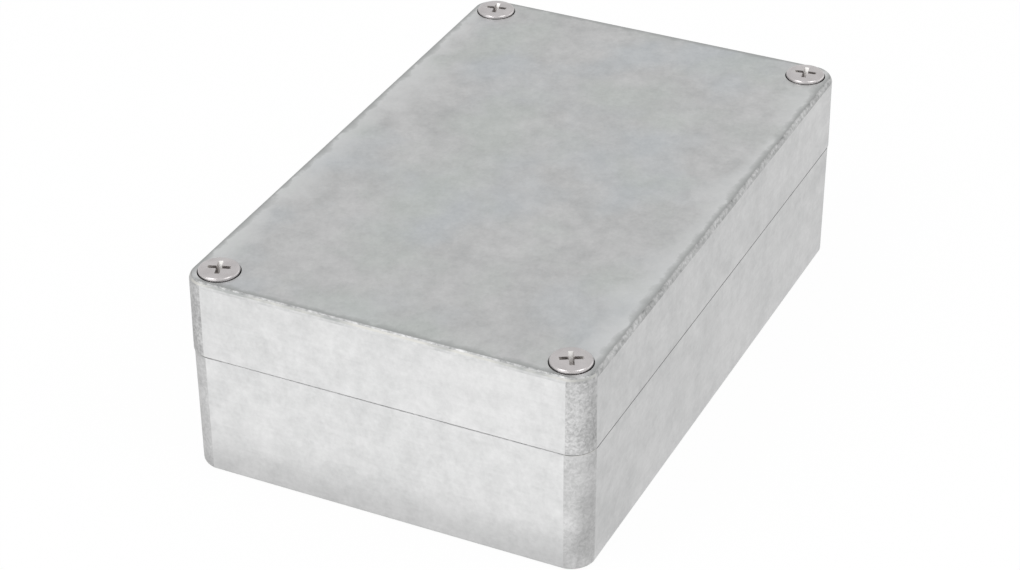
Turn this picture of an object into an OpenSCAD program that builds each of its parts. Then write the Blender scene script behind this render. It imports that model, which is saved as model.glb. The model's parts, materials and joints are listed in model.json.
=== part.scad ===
// Die cast aluminium box: a drafted tub, a deep lid, a sealing ring and four lid screws.
// The long side lies along X, up is Z, and the origin is at the middle of the underside.

/* [Box] */
// Length over the lid's lower edge
box_l = 125; // [90:1:250]
// Width over the lid's lower edge
box_w = 80; // [70:1:160]
// Height of the tub, from the underside to its rim
base_h = 25.2; // [16:0.1:80]
// Height of the lid, from the tub's rim to the flat top
lid_h = 15.8; // [10:0.1:60]
// Radius of the upright corners
corner_r = 4.5; // [3:0.1:7]
// How far the rounded edge of the lid reaches in over its top
lid_edge_in = 0.6; // [0.3:0.1:1.5]
// How far the rounded edge of the lid reaches down its sides
lid_edge_drop = 1.1; // [0.3:0.1:2]
// Rounding of the edge round the underside
base_edge_r = 1; // [0.3:0.1:2]
// How far the lid's lower edge stands out over the tub
lid_overhang = 0.2; // [0:0.05:0.8]

/* [Walls] */
// Thickness of the tub's side walls
wall_t = 3.6; // [3:0.1:5]
// Thickness of the tub's floor
floor_t = 3; // [2:0.1:6]
// Thickness of the lid's top
roof_t = 3; // [2:0.1:5]
// Draft of the outer walls of the tub, in degrees
base_draft = 0.4; // [0.2:0.1:2]
// Draft of the outer walls of the lid, in degrees
lid_draft = 0.3; // [0.2:0.1:2]
// Draft of both cavities, in degrees
cavity_draft = 1; // [0.2:0.1:2]
// Fillet between a corner column and the side walls
fillet_r = 2; // [0.5:0.1:4]
// Rounding of the corner columns
column_r = 3.4; // [3:0.1:6]
// Bevel along the foot of the cavity walls
cove = 1.2; // [0.4:0.1:2]

/* [Seal] */
// Width of the tongue on the tub's rim
tongue_w = 1; // [0.8:0.1:1.4]
// Height of the tongue
tongue_h = 1.2; // [0.5:0.1:2]
// Gap between the tongue and each side of the lid's groove
tongue_gap = 0.5; // [0.3:0.05:0.6]
// Thickness of the sealing ring
gasket_t = 1.6; // [0.8:0.1:3]
// Gap between the sealing ring and each side of the groove
gasket_gap = 0.1; // [0.02:0.01:0.2]

/* [Lid screws] */
// Distance of a screw from the lid's end face
screw_in_x = 5.2; // [5:0.1:8]
// Distance of a screw from the lid's long face
screw_in_y = 5.4; // [5:0.1:8]
// Radius of the screw's thread
thread_r = 2; // [1.5:0.1:2.5]
// Length of thread that the tub takes
thread_grip = 6.4; // [4:0.1:12]
// Depth of the hole below the end of the screw
tip_room = 3; // [1:0.5:6]
// Radius of the screw's head
head_r = 3.85; // [3.2:0.05:4.4]
// Depth to which the head sinks into the lid
head_sink = 2.2; // [1:0.1:3]
// How far the head stands out of the lid
head_proud = 0.85; // [0.4:0.05:2]
// Gap round the head in its counterbore
head_gap = 0.15; // [0.1:0.05:0.5]
// Gap round the screw in the lid's clearance hole
shank_gap = 0.25; // [0.1:0.05:0.4]
// Running gap round the thread in the tub's tapped hole
thread_gap = 0.05; // [0.01:0.01:0.1]

/* [Wall fixing holes] */
// Distance of a fixing hole from the lid's end face
fix_in_x = 6; // [6:0.1:12]
// Distance of a fixing hole from the lid's long face
fix_in_y = 14; // [13:0.1:20]
// Radius of a fixing hole
fix_r = 2.25; // [1.5:0.05:3]
// Radius of the passage for a fixing screw's head
fix_head_r = 4.1; // [3.5:0.1:4.4]
// Height of the seat for a fixing screw's head
fix_seat_h = 6; // [3:0.5:12]
// Depth of the relief in the lid over each fixing hole
fix_relief = 9; // [4:0.5:10]

/* [Board bosses] */
// Distance of a boss from the lid's end face
boss_in_x = 20.5; // [19:0.5:35]
// Distance of a boss from the lid's long face
boss_in_y = 12; // [9:0.5:25]
// Radius of a boss at its top
boss_r = 3.25; // [2.5:0.05:4]
// Height of a boss above the floor
boss_h = 5; // [3:0.5:8]
// Radius of a boss's pilot hole
pilot_r = 1.25; // [1:0.05:1.6]
// Floor left under a pilot hole
pilot_floor = 2; // [1:0.1:2]

/* [Hidden] */

// The four corners as signs of X and Y
LEFT_FRONT = [-1, -1];
RIGHT_FRONT = [1, -1];
RIGHT_BACK = [1, 1];
LEFT_BACK = [-1, 1];
CORNERS = [LEFT_FRONT, RIGHT_FRONT, RIGHT_BACK, LEFT_BACK];

cut = 1;           // how far a cut runs past a face
post_facets = 32;  // facets round a revolved corner post
plan_facets = 24;  // facets round a full turn of the seal's outline
$fn = 48;

box_h = base_h + lid_h;
base_l = box_l - 2 * lid_overhang;
base_w = box_w - 2 * lid_overhang;
cavity_l = base_l - 2 * wall_t;
cavity_w = base_w - 2 * wall_t;

// Corner columns hold a lid screw and a fixing hole, outside the seal
column_l = max(fix_in_x + fix_head_r, screw_in_x + thread_r) + wall_t;
column_w = max(fix_in_y + fix_head_r, screw_in_y + thread_r) + wall_t;

groove_w = tongue_w + 2 * tongue_gap;
groove_h = tongue_h + gasket_t;

boss_flare = 0.3;
bore_r = thread_r + thread_gap;
bore_bevel = 0.5;
screw_seat = box_h - head_sink;
screw_tip = base_h - thread_grip;

// Cross recess of the lid screws
recess_span = 4.4;
recess_slot = 0.9;
recess_depth = 2;
head_edge_r = min(0.5, head_proud);
head_crown = 0.12;
tip_bevel = 0.5;

// Places one child at the given distance in from each corner
module at_corner(corner, in_x, in_y)
  translate([corner.x * (box_l / 2 - in_x), corner.y * (box_w / 2 - in_y), 0])
    children();

module at_corners(in_x, in_y)
  for (corner = CORNERS)
    at_corner(corner, in_x, in_y)
      children();

// Block with round corners, widest at its top, with a rounded edge round its underside
module drafted_block(length, width, height, draft, edge_in, edge_rise) {
  foot_r = corner_r - height * tan(draft);
  edge = [for (a = [0:18:90]) [foot_r - edge_in * (1 - sin(a)), edge_rise * (1 - cos(a))]];
  profile = concat([[0, 0]], edge, [[corner_r, height], [0, height]]);
  hull()
    for (corner = CORNERS)
      translate([corner.x * (length / 2 - corner_r), corner.y * (width / 2 - corner_r), 0])
        rotate_extrude($fn = post_facets)
          polygon(profile);
}

// Outline of the sealed space: a rectangle that steps round the four corner columns
module cavity_plan()
  offset(r = fillet_r, $fn = plan_facets) offset(delta = -fillet_r)
    offset(r = -column_r, $fn = plan_facets) offset(delta = column_r)
      difference() {
        square([cavity_l, cavity_w], center = true);
        for (corner = CORNERS)
          translate([corner.x * box_l / 2, corner.y * box_w / 2])
            square([2 * column_l, 2 * column_w], center = true);
      }

// Band along the middle of the rim, all round the sealed space
module seal_band(width)
  difference() {
    offset(r = (wall_t + width) / 2, $fn = plan_facets) cavity_plan();
    offset(r = (wall_t - width) / 2, $fn = plan_facets) cavity_plan();
  }

// Share of its size that a side keeps where the walls lean in by a distance
function kept(side, lean) = (side - 2 * lean) / side;

// Drafted pocket with its mouth at z = 0 and its bevelled floor below
module cast_pocket(depth) {
  lean = (depth - cove) * tan(cavity_draft);
  foot = [kept(cavity_l, lean), kept(cavity_w, lean)];
  floor_scale = [kept(cavity_l * foot.x, cove), kept(cavity_w * foot.y, cove)];
  mirror([0, 0, 1]) {
    linear_extrude(depth - cove, scale = foot, slices = 1)
      cavity_plan();
    translate([0, 0, depth - cove])
      linear_extrude(cove, scale = floor_scale, slices = 1)
        scale(foot)
          cavity_plan();
  }
  linear_extrude(cut)
    cavity_plan();
}

// Tub with its corner columns, tongue, board bosses and all its holes
module base()
  color("silver")
    difference() {
      union() {
        difference() {
          drafted_block(base_l, base_w, base_h, base_draft, base_edge_r, base_edge_r);
          translate([0, 0, base_h])
            cast_pocket(base_h - floor_t);
        }
        translate([0, 0, base_h - tongue_h])
          linear_extrude(2 * tongue_h)
            seal_band(tongue_w);
        at_corners(boss_in_x, boss_in_y)
          translate([0, 0, floor_t / 2])
            cylinder(r1 = boss_r + boss_flare, r2 = boss_r, h = floor_t / 2 + boss_h);
      }
      at_corners(screw_in_x, screw_in_y) {
        translate([0, 0, screw_tip - tip_room])
          cylinder(r = bore_r, h = thread_grip + tip_room + cut);
        translate([0, 0, base_h - bore_bevel])
          cylinder(r1 = bore_r, r2 = bore_r + 2 * bore_bevel, h = 2 * bore_bevel);
      }
      at_corners(fix_in_x, fix_in_y) {
        translate([0, 0, -cut])
          cylinder(r = fix_r, h = fix_seat_h + 2 * cut);
        translate([0, 0, fix_seat_h])
          cylinder(r = fix_head_r, h = base_h);
      }
      at_corners(boss_in_x, boss_in_y)
        translate([0, 0, pilot_floor])
          cylinder(r = pilot_r, h = floor_t + boss_h);
    }

// Lid with its counterbored screw holes, its groove and a relief over each fixing hole
module lid()
  color("lightgray")
    difference() {
      translate([0, 0, box_h])
        mirror([0, 0, 1])
          drafted_block(box_l, box_w, lid_h, lid_draft, lid_edge_in, lid_edge_drop);
      translate([0, 0, base_h])
        mirror([0, 0, 1])
          cast_pocket(lid_h - roof_t);
      translate([0, 0, base_h - cut])
        linear_extrude(groove_h + cut)
          seal_band(groove_w);
      at_corners(screw_in_x, screw_in_y) {
        translate([0, 0, base_h - cut])
          cylinder(r = thread_r + shank_gap, h = lid_h + 2 * cut);
        translate([0, 0, screw_seat])
          cylinder(r = head_r + head_gap, h = head_sink + cut);
      }
      at_corners(fix_in_x, fix_in_y)
        translate([0, 0, base_h - cut])
          cylinder(r = fix_head_r, h = fix_relief + cut);
    }

// Rubber ring in the lid's groove, resting on the tongue
module gasket()
  color("dimgray")
    translate([0, 0, base_h + tongue_h])
      linear_extrude(gasket_t)
        seal_band(groove_w - 2 * gasket_gap);

// Tapered cross cut into the top of a head, at z = 0 and below
module cross_recess()
  intersection() {
    translate([0, 0, -recess_depth])
      cylinder(r1 = recess_slot, r2 = recess_span / 2 + head_crown, h = recess_depth + head_crown);
    for (turn = [0, 90])
      rotate(turn)
        cube([recess_span + cut, recess_slot, 3 * recess_depth], center = true);
  }

// Lid screw with a low round head, standing on its tip at z = 0
module lid_screw(corner, turn) {
  length = screw_seat - screw_tip;
  head_top = length + head_sink + head_proud;
  head_edge = [
    for (a = [0:18:90])
      [head_r - head_edge_r * (1 - cos(a)), head_top - head_edge_r * (1 - sin(a)) - head_crown]
  ];
  profile = concat(
    [[0, 0], [thread_r - tip_bevel, 0], [thread_r, tip_bevel], [thread_r, length], [head_r, length]],
    head_edge,
    [[0, head_top]]
  );
  color("gainsboro")
    at_corner(corner, screw_in_x, screw_in_y)
      translate([0, 0, screw_tip])
        rotate(turn)
          difference() {
            rotate_extrude()
              polygon(profile);
            translate([0, 0, head_top])
              cross_recess();
          }
}

module lid_screw_left_front() lid_screw(LEFT_FRONT, 28);
module lid_screw_right_front() lid_screw(RIGHT_FRONT, 10);
module lid_screw_right_back() lid_screw(RIGHT_BACK, 12);
module lid_screw_left_back() lid_screw(LEFT_BACK, 20);

base();
lid();
gasket();
lid_screw_left_front();
lid_screw_right_front();
lid_screw_right_back();
lid_screw_left_back();
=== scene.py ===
"""Dresses a die cast aluminium box: a drafted tub, a deep lid, a sealing ring and four lid screws.

The long side lies along X, up is Z, and the origin is at the middle of the underside.
Lengths are in metres inside the script, and their defaults are written in millimetres.
"""

import json
import math

import bmesh
import bpy
from bpy.props import FloatProperty, FloatVectorProperty, IntProperty, PointerProperty
from mathutils import Matrix, Vector


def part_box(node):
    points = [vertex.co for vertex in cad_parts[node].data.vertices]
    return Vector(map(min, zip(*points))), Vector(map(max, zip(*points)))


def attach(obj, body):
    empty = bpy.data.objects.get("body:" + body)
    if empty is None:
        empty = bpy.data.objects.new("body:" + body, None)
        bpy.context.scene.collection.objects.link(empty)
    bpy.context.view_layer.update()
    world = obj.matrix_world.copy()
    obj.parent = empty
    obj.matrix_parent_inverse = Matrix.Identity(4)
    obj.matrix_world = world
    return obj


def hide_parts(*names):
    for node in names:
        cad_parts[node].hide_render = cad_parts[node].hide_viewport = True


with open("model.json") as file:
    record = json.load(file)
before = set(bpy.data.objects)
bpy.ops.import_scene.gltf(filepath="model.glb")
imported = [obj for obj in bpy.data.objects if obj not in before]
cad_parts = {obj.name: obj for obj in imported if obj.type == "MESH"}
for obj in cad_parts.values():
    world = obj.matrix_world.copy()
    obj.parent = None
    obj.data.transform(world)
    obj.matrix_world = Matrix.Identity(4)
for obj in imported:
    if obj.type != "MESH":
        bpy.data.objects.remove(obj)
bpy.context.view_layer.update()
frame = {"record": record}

bl_info = {
    "name": "Die cast aluminium box",
    "version": (1, 0, 0),
    "blender": (4, 5, 0),
    "location": "3D View > Sidebar > Cast Box",
    "description": "Builds the two castings, the seal, the lid screws and a plain studio",
    "category": "Object",
}

MM = 0.001
QUARTER = math.pi / 2
CUT = 1 * MM  # how far a cutter runs past the face that it opens
WELD = 0.001 * MM  # points closer than this are one point
CORNER_STEPS = 16  # faces round each upright corner
FILLET_STEPS = 12  # faces round each corner of the sealed space
BORE_STEPS = 64  # faces round a bore
THREAD_STEPS = 48  # faces round a thread
FOOT_STEPS = 8  # rows of faces in the rounding of the foot
RIM_STEPS = 4  # rows in the rounding of each rim
WORN_STEPS = 2  # rows of the tub's rim that are rubbed on the corners
EDGE_STEPS = 9  # rows in the lid's top edge
COVE_STEPS = 6  # rows in each fillet inside
HEAD_STEPS = 8  # rows in the edge of a screw's head
BAND_STEPS = 4  # points in each rounding of the seal's band
EDGE_START = math.radians(18)  # the lid's top edge follows an arc from here,
EDGE_END = math.radians(72)  # measured from the side of the lid, to here
CREASE = math.radians(30)  # an edge that turns more than this is sharp
SKIN_CREASE = math.radians(5)  # so is one that turns this much between two finishes

SCREWS = {
    "screw_left_front": 28,
    "screw_right_front": 10,
    "screw_right_back": 12,
    "screw_left_back": 20,
}  # each screw's body, and the turn of its cross recess in degrees
MOUNTS = {mount["name"]: mount for mount in frame["record"]["mounts"]}
TUB_MARKS = (28 * MM, 22 * MM, 52 * MM)  # X and Y of four ejector marks, and X of two on the middle line
LID_MARKS = (30 * MM, 20 * MM, 50 * MM)

DRILL_END = (0.3, 0.4)  # radius and height of a pilot hole's blunt end, as shares of the hole's radius
LATHE = 1 * MM  # radius of the circle that carries a turned profile
SCREW_POINT = 0.5 * MM  # how much the thread narrows at the tip of a screw
TAP_POINT = 1 * MM  # and at the bottom of a tapped hole
ARM_TAPERS = (0.58, 0.14)  # shares of length and width that an arm of the recess loses at its foot
PIT_TOP = 1.7 * MM  # radius at the top of the pit in the middle of the recess
PIT_FOOT = 0.4 * MM  # and at its foot
RECESS_REACH = 2.4 * MM  # the recess's walls are nearer to the screw's axis than this,
RECESS_TOP = 0.2 * MM  # deeper below the head's top than this,
RECESS_END = 2.6 * MM  # and not as deep as this
THREAD_INPUTS = {
    "Crest": "Float", "Root": "Float", "Pitch": "Float", "Bottom": "Float", "Top": "Float",
    "Point": "Float", "Rows": "Int",
}

SENSOR_MM = 36  # width of the camera's sensor
FLOOR_REACH = 3.0  # half of the floor's side
FLOOR_GAP = 0.05 * MM  # the floor lies this far under the box, so that the two don't share a face
SOFT_BOXES = {
    "key": (0.4, 0.4, -53, 50, 0.9),
    "fill": (0.4, 0.4, 53, 50, 0.9),
    "side": (0.9, 0.3, 105, 10, 0.9),
    "low": (0.9, 0.3, -42, 9, 0.8),
}  # width, height, turn and rise in degrees, and distance
PANEL = (0.13, 0.26, 73 * MM, -40 * MM)  # length along X and Y, distance from the box's end, and place in Y
PANEL_GAP = 0.5 * MM  # height of the panel over the floor
PANEL_AIM = 0.5  # height of the point that the panel faces, straight above it


# ---------------------------------------------------------------- sizes and colours


def srgb(code):
    """Linear colour, with alpha, of an sRGB hex value."""
    shares = [int(code[i:i + 2], 16) / 255 for i in (0, 2, 4)]
    linear = [s / 12.92 if s <= 0.04045 else ((s + 0.055) / 1.055) ** 2.4 for s in shares]
    return (*linear, 1.0)


def length_setting(name, description, size_mm):
    """Property for a length, whose default is given in millimetres."""
    return FloatProperty(name=name, description=description, default=size_mm * MM, unit="LENGTH")


def angle_setting(name, description, degrees):
    """Property for an angle, whose default is given in degrees."""
    return FloatProperty(name=name, description=description, default=math.radians(degrees), subtype="ANGLE")


def colour_setting(name, description, code):
    """Property for a colour, whose default is given as an sRGB hex value."""
    return FloatVectorProperty(
        name=name, description=description, default=srgb(code), size=4, min=0, max=1, subtype="COLOR")


def power_setting(name, description, watts):
    """Property for the power of a lamp."""
    return FloatProperty(name=name, description=description, default=watts, min=0, max=50, unit="POWER")


def share_setting(name, description, share):
    """Property for a strength or a share between 0 and 1."""
    return FloatProperty(name=name, description=description, default=share, min=0, max=1, subtype="FACTOR")


class CastingSizes(bpy.types.PropertyGroup):
    """Sizes of the two castings."""

    lid_corner: length_setting("Lid corner radius", "As-cast radius of the lid's upright corners", 4.9)
    tub_corner: length_setting(
        "Tub corner radius", "As-cast radius of the tub's upright corners at the rim", 5.1)
    tub_spread: length_setting(
        "Tub spread", "How much wider the tub is on each side than the plain casting", 0.14)
    ground_off: length_setting(
        "Ground off", "Metal that linishing took off the flat faces, which creases the corners", 0.05)
    lid_edge_in: length_setting(
        "Lid edge in", "How far the rounded edge reaches in over the top of the lid", 0.6)
    lid_edge_drop: length_setting(
        "Lid edge drop", "How far the rounded edge reaches down the sides of the lid", 1.1)
    foot_round: length_setting("Foot rounding", "Rounding of the edge round the underside", 1)
    rim_round: length_setting("Rim rounding", "Rounding of the edges that meet along the seam", 0.14)
    relief: length_setting(
        "Seam relief", "How far each casting stands back from the seam along its outer edge", 0.035)
    relief_width: length_setting("Seam relief width", "Width of the relief along the seam", 1.1)
    wall: length_setting("Wall", "Thickness of the side walls at the seam", 3.6)
    floor: length_setting("Floor", "Thickness of the tub's floor and of the lid's top", 3)
    tub_draft: angle_setting("Tub draft", "Draft of the tub's outer walls", 0.4)
    lid_draft: angle_setting("Lid draft", "Draft of the lid's outer walls", 0.3)
    cavity_draft: angle_setting("Cavity draft", "Draft of both cavities", 1)
    cavity_fillet: length_setting(
        "Cavity fillet", "Fillet between a corner column and the side walls", 2)
    column_round: length_setting("Column rounding", "Rounding of the corner columns", 3.4)
    column_x: length_setting(
        "Column length", "Reach of a corner column along X, from the end of the box", 13.7)
    column_y: length_setting(
        "Column width", "Reach of a corner column along Y, from the side of the box", 21.7)
    cove: length_setting("Cove", "Fillet along the foot of the cavity walls", 1.2)
    ejector_radius: length_setting(
        "Ejector mark radius", "Radius of the marks that the ejector pins left", 2.6)
    ejector_depth: length_setting(
        "Ejector mark depth", "Depth of the marks that the ejector pins left", 0.15)


class SealSizes(bpy.types.PropertyGroup):
    """Sizes of the tongue, the groove and the ring between them."""

    tongue_width: length_setting("Tongue width", "Width of the tongue on the tub's rim", 1)
    groove_width: length_setting("Groove width", "Width of the groove in the lid", 2)
    ring_width: length_setting("Ring width", "Width of the rubber ring", 1.8)
    edge_round: length_setting("Edge rounding", "Rounding of the edges of tongue, groove and ring", 0.3)


class HoleSizes(bpy.types.PropertyGroup):
    """Sizes of the holes and bosses."""

    counterbore_gap: length_setting(
        "Counterbore gap", "Gap round a screw's head in its counterbore", 0.15)
    counterbore_depth: length_setting("Counterbore depth", "Depth of the counterbores in the lid", 2.2)
    clearance_radius: length_setting("Clearance radius", "Radius of the lid's clearance holes", 2.25)
    thread_depth: length_setting("Tapped depth", "Depth of the tapped holes below the tub's rim", 9.4)
    passage_radius: length_setting(
        "Passage radius", "Radius of the passage for the head of a fixing screw", 4.1)
    seat_height: length_setting("Seat height", "Height of the seat for the head of a fixing screw", 6)
    relief_depth: length_setting(
        "Relief depth", "Depth of the relief in the lid over each fixing screw", 9)
    boss_radius: length_setting("Boss radius", "Radius of a board boss at its top", 3.25)
    boss_flare: length_setting("Boss flare", "How much wider a boss is at its foot", 0.3)
    pilot_floor: length_setting("Pilot floor", "Floor left under a boss's pilot hole", 2)
    counterbore_bevel: length_setting(
        "Counterbore bevel", "Bevel round the mouth of each counterbore", 0.04)
    mouth: length_setting("Mouth bevel", "Bevel round the mouth of each of the other holes", 0.15)


class ScrewSizes(bpy.types.PropertyGroup):
    """Sizes of a lid screw."""

    edge_round: length_setting("Head edge", "Rounding of the edge of the head", 0.5)
    crown: length_setting("Crown", "Height of the crown of the head", 0.12)
    recess_span: length_setting(
        "Recess span", "Length of an arm of the cross recess from end to end", 4.4)
    recess_slot: length_setting("Recess slot", "Width of an arm of the cross recess", 0.9)
    recess_depth: length_setting("Recess depth", "Depth of the cross recess", 1.6)
    thread_radius: length_setting("Thread radius", "Radius over the crests of the thread", 1.96)
    thread_root: length_setting("Thread root", "Radius at the roots of the thread", 1.58)
    pitch: length_setting("Pitch", "Rise of the thread in one turn", 0.7)
    thread_play: length_setting(
        "Thread play", "Play between the screw's thread and the tapped hole's", 0.08)
    rows: IntProperty(
        name="Rows in a turn", description="Rows of faces in one turn of the thread",
        default=8, min=4, max=16)


class Finishes(bpy.types.PropertyGroup):
    """Colours of the surfaces."""

    flat: colour_setting("Linished flats", "Mean colour of the linished faces", "CACACA")
    flat_dark: colour_setting(
        "Linished bloom", "Colour of the darker clouds on the linished faces", "BABBBB")
    margin: colour_setting("Margin", "Colour of the dull margin round the lid's top", "A8AAA9")
    rubbed: colour_setting(
        "Rubbed sides", "Colour of the lid's top where it is rubbed, along its long sides", "DBDCDC")
    cool: colour_setting("Cool tint", "Colour of the cooler clouds", "C2C6C9")
    green: colour_setting("Green tint", "Colour of the greener clouds", "C2C6C3")
    skin: colour_setting("Cast skin", "Light colour of the as-cast skin", "C2C2C2")
    skin_dark: colour_setting("Cast skin, dark", "Dark colour of the as-cast skin", "9A9A9A")
    tub_skin: colour_setting("Tub skin", "Light colour of the tub's smoother skin", "CACACA")
    edge_dark: colour_setting(
        "Edge skin, dark", "Dark colour of the skin left along the lid's edge", "7C7E7D")
    burnished: colour_setting("Burnished edge", "Colour of the rubbed edge of the lid", "CCCBC7")
    machined: colour_setting("Machined", "Colour of the drilled and tapped holes", "D0D0D0")
    steel: colour_setting("Stainless steel", "Colour of the lid screws", "CDC9C9")
    steel_dark: colour_setting(
        "Stainless steel, dull", "Colour of the duller patches on the lid screws", "C2BEBE")
    # Painted light in the cross recess: the first colour is painted shade on the upright and deep walls, the
    # second a painted highlight on the shallow sloping ends
    recess: colour_setting("Cross recess", "Colour of the punched walls of the cross recess", "BAB6B4")
    coined: colour_setting(
        "Coined ends", "Colour of the bright sloping ends of the cross recess", "E6E4E2")
    # Painted shade: the dark colour of the film that stands for the shadow inside the seam
    grime: colour_setting(
        "Seam grime", "Colour of the polishing grime that is left in the seam", "848584")
    rubber: colour_setting("Rubber", "Colour of the sealing ring", "2E2F31")
    rubber_bloom: colour_setting(
        "Rubber bloom", "Colour of the dusty bloom on the sealing ring", "46474A")


class StudioSettings(bpy.types.PropertyGroup):
    """Places of the camera and lamps, and their strengths."""

    azimuth: angle_setting("Azimuth", "Turn of the camera round the box from straight in front", -64.44)
    elevation: angle_setting("Elevation", "Height of the camera above the horizon", 32.19)
    roll: angle_setting("Roll", "Roll of the camera about its own axis", -0.283)
    distance: length_setting("Distance", "Distance of the camera from the middle of the box", 531.4)
    slide_right: length_setting(
        "Slide right", "How far the box stands to the right of the picture's middle", 3.84)
    slide_up: length_setting("Slide up", "How far the box stands above the picture's middle", 5.05)
    lens: FloatProperty(
        name="Lens", description="Focal length in millimetres, for a sensor 36 mm wide",
        default=96.43, min=20, max=300, subtype="DISTANCE_CAMERA")
    ambient: share_setting("Ambient", "Strength of the even light from all round", 0.86)
    key_power: power_setting("Key power", "Power of the soft box on the left of the camera", 1.3)
    fill_power: power_setting("Fill power", "Power of the soft box on the right of the camera", 1.1)
    low_power: power_setting(
        "Low power", "Power of the low strip light that faces the end of the box", 0.8)
    side_power: power_setting(
        "Side power", "Power of the low soft box that faces the long side of the box", 0.5)
    panel_power: power_setting(
        "Panel power", "Power of the panel that lies on the floor before the end of the box", 0.048)
    floor: colour_setting("Floor", "Colour of the floor", "F4F4F4")
    floor_glow: share_setting(
        "Floor whiteness", "Share of plain white in the floor as the camera and metal see it", 0.96)


# ---------------------------------------------------------------- meshes


def linked(name, mesh):
    """Object with that mesh, in the scene."""
    made = bpy.data.objects.new(name, mesh)
    bpy.context.scene.collection.objects.link(made)
    return made


def solid(name, shape, *finishes):
    """Closed mesh object made from a bmesh, with its faces turned outwards."""
    bmesh.ops.recalc_face_normals(shape, faces=shape.faces)
    mesh = bpy.data.meshes.new(name)
    shape.to_mesh(mesh)
    shape.free()
    for material in finishes:
        mesh.materials.append(material)
    return linked(name, mesh)


def baked(made):
    """The same object with its modifiers turned into plain mesh."""
    seen = bpy.context.evaluated_depsgraph_get()
    mesh = bpy.data.meshes.new_from_object(made.evaluated_get(seen), depsgraph=seen)
    made.modifiers.clear()
    spent = made.data
    made.data = mesh
    bpy.data.meshes.remove(spent)
    return made


def combine(made, tool, operation):
    """Joins a tool to a piece or cuts it away, and removes the tool."""
    modifier = made.modifiers.new(operation.title(), "BOOLEAN")
    modifier.operation = operation
    modifier.solver = "EXACT"
    modifier.material_mode = "TRANSFER"
    modifier.object = tool
    baked(made)
    spent = tool.data
    bpy.data.objects.remove(tool)
    bpy.data.meshes.remove(spent)
    if not made.data.polygons:
        raise RuntimeError(f"{made.name} was lost in a {operation.lower()}")


def smoothed(made):
    """Smooth faces, with sharp edges where the form or the finish changes, and flats that stay flat."""
    shape = bmesh.new()
    shape.from_mesh(made.data)
    bmesh.ops.remove_doubles(shape, verts=shape.verts, dist=WELD)
    bmesh.ops.dissolve_degenerate(shape, edges=shape.edges, dist=WELD)
    for face in shape.faces:
        face.smooth = True
    for edge in shape.edges:
        if len(edge.link_faces) != 2:
            continue
        one, other = edge.link_faces
        limit = CREASE if one.material_index == other.material_index else SKIN_CREASE
        edge.smooth = edge.calc_face_angle(math.pi) < limit
    shape.to_mesh(made.data)
    shape.free()
    weighted = made.modifiers.new("Weighted normals", "WEIGHTED_NORMAL")
    weighted.mode = "FACE_AREA"
    weighted.weight = 100
    weighted.keep_sharp = True
    return baked(made)


def quarter_turns(steps):
    """Equal steps through a quarter turn, both ends included."""
    return [QUARTER * step / steps for step in range(steps + 1)]


def arc(centre, radius, start, end, steps):
    """Points along an arc, both ends included."""
    turns = [start + (end - start) * step / steps for step in range(steps + 1)]
    return [centre + Vector((math.cos(turn), math.sin(turn))) * radius for turn in turns]


def at_height(points, height):
    """Flat points raised to a height."""
    return [Vector((*point, height)) for point in points]


def box_ring(half, inset, corner, ground, height):
    """Outline of a box with round corners, whose flats are ground back so that each corner has creases."""
    reach = corner - ground
    skip = math.acos(reach / corner)
    middle = half - Vector((inset + reach, inset + reach))
    points = []
    for quarter, (x, y) in enumerate(((1, 1), (-1, 1), (-1, -1), (1, -1))):
        start = quarter * QUARTER + skip
        centre = Vector((x * middle.x, y * middle.y))
        points += arc(centre, corner, start, start + QUARTER - 2 * skip, CORNER_STEPS)
    return at_height(points, height)


def box_face(column):
    """Which face of the box a column of a box_ring loft is on: corner, end or side."""
    quarter, step = divmod(column, CORNER_STEPS + 1)
    if step < CORNER_STEPS:
        return "corner"
    return "end" if quarter % 2 else "side"


def sealed_outline(offset=0.0):
    """Outline of the sealed space, a rectangle that steps round four corner columns, grown by an offset."""
    sizes = bpy.context.scene.casting_sizes
    low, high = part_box("base")
    rim = Vector(high.xy - low.xy) / 2 - Vector((sizes.wall, sizes.wall))
    low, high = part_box("lid")
    column = Vector(high.xy - low.xy) / 2 - Vector((sizes.column_x, sizes.column_y))
    inner, outer = sizes.cavity_fillet, sizes.column_round
    fillet = Vector((inner, inner))
    quarter = arc(Vector((rim.x, column.y)) - fillet, inner + offset, 0, QUARTER, FILLET_STEPS)
    quarter += arc(column + Vector((outer, outer)), outer - offset, 3 * QUARTER, 2 * QUARTER, FILLET_STEPS)
    quarter += arc(Vector((column.x, rim.y)) - fillet, inner + offset, 0, QUARTER, FILLET_STEPS)
    points = quarter + [Vector((-p.x, p.y)) for p in reversed(quarter)]
    return points + [-p for p in points]


def circle(place, radius, height):
    """Ring of points round a place."""
    turns = [4 * QUARTER * step / BORE_STEPS for step in range(BORE_STEPS)]
    return [Vector((place.x + radius * math.cos(t), place.y + radius * math.sin(t), height)) for t in turns]


def loft(shape, rings, region=lambda row, column: 0, caps=0):
    """Closed skin over rings of as many points each. region and caps number the finish of each face."""
    rows = [[shape.verts.new(point) for point in ring] for ring in rings]
    for row, (low, high) in enumerate(zip(rows, rows[1:])):
        for column in range(len(low)):
            after = (column + 1) % len(low)
            face = shape.faces.new((low[column], low[after], high[after], high[column]))
            face.material_index = region(row, column)
    shape.faces.new(reversed(rows[0])).material_index = caps
    shape.faces.new(rows[-1]).material_index = caps


def turned(shape, places, profile, number=0):
    """Bodies of revolution at several places, from a profile of radius and height, in a numbered finish."""
    for place in places:
        loft(shape, [circle(place, *step) for step in profile], lambda row, column: number, number)


def four(x, y):
    """The same place in each corner of the box."""
    return [Vector((i * x, j * y)) for i in (-1, 1) for j in (-1, 1)]


def pattern(mount):
    """Places of a record's rectangular hole pattern."""
    dims = MOUNTS[mount]["dims"]
    return four(dims["spacing_x_mm"] * MM / 2, dims["spacing_y_mm"] * MM / 2)


def screw_box(body):
    """Corners of a lid screw, whose node is named after its body."""
    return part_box("lid_" + body)


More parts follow.
